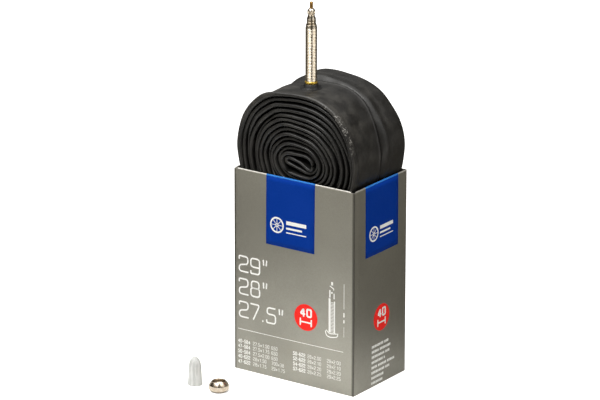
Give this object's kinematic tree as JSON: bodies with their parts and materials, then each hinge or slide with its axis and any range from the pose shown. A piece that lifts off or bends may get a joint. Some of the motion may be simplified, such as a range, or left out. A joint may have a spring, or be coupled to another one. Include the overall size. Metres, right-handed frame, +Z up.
{
  "type": "bicycle inner tube in open carton",
  "caption": "Flattened butyl inner tube wound into a roll with an upright Presta valve, half out of its open printed carton, with dust cap and rim nut beside it",
  "frame": {"origin": "centre of the carton's base, on the surface that it stands on", "axes": "+Z up along the valve, -Y towards the carton's printed front, +X to the right of somebody facing that front"},
  "size_m": [0.0812, 0.0855, 0.1995],
  "materials": {
    "printed_board": "satin print on folding board",
    "plain_board": "uncoated grey board",
    "board_ink_blue": "satin blue ink",
    "board_ink_white": "satin white ink",
    "board_ink_red": "satin red ink",
    "butyl": "satin, lightly dusted",
    "pad_rubber": "matt moulded",
    "seal_rubber": "matt",
    "nickel_plate": "nickel plate on brass",
    "bare_brass": "turned",
    "pin_brass": "turned and threaded",
    "clear_plastic": "translucent moulded"
  },
  "bodies": {
    "carton": {"carton_sleeve": "printed_board", "carton_glue_tab": "plain_board", "top_closure_flap": "printed_board", "top_dust_flap_left": "printed_board", "top_dust_flap_right": "printed_board", "bottom_closure_flap": "printed_board", "bottom_dust_flap_left": "plain_board", "bottom_dust_flap_right": "plain_board"},
    "tube": {"tube_roll": "butyl", "valve_pad": "pad_rubber", "stem_foot": "bare_brass", "valve_stem": "nickel_plate"},
    "core_seal": {"core_gasket": "seal_rubber"},
    "core": {"core_body": "nickel_plate"},
    "pin": {"core_pin": "pin_brass", "core_plug": "seal_rubber", "core_plug_cup": "bare_brass"},
    "lock_nut": {"core_lock_nut": "nickel_plate"},
    "loose_nut": {"rim_nut": "nickel_plate"},
    "loose_cap": {"dust_cap": "clear_plastic"}
  },
  "joints": [
    {"name": "tube_slide", "type": "slide", "parent": "carton", "child": "tube", "axis": [0, 0, 1], "range_m": [-0.081, 0.035]},
    {"name": "core_lift", "type": "slide", "parent": "tube", "child": "core_seal", "axis": [0, 0, 1], "range_m": [0, 0.00529]},
    {"name": "core_turn", "type": "hinge", "parent": "core_seal", "child": "core", "pos_m": [-0.0021, -0.0055, 0.184], "axis": [0, 0, 1], "range_deg": [0, 1800.01]},
    {"name": "nut_turn", "type": "hinge", "parent": "core", "child": "lock_nut", "pos_m": [-0.0021, -0.0055, 0.194], "axis": [0, 0, 1], "range_deg": [0, 1440.01]},
    {"name": "pin_drop", "type": "slide", "parent": "core", "child": "pin", "axis": [0, 0, 1], "range_m": [-0.0018, 0]},
    {"name": "rim_nut_lift", "type": "slide", "parent": "carton", "child": "loose_nut", "axis": [0, 0, 1], "range_m": [0, 0.03]},
    {"name": "cap_lift", "type": "slide", "parent": "carton", "child": "loose_cap", "axis": [0, 0, 1], "range_m": [0, 0.03]}
  ],
  "couplings": [
    {"joint": "core_turn", "follows": "core_lift", "rad_per_m": 5938.7},
    {"joint": "nut_turn", "follows": "pin_drop", "rad_per_m": -13963}
  ]
}
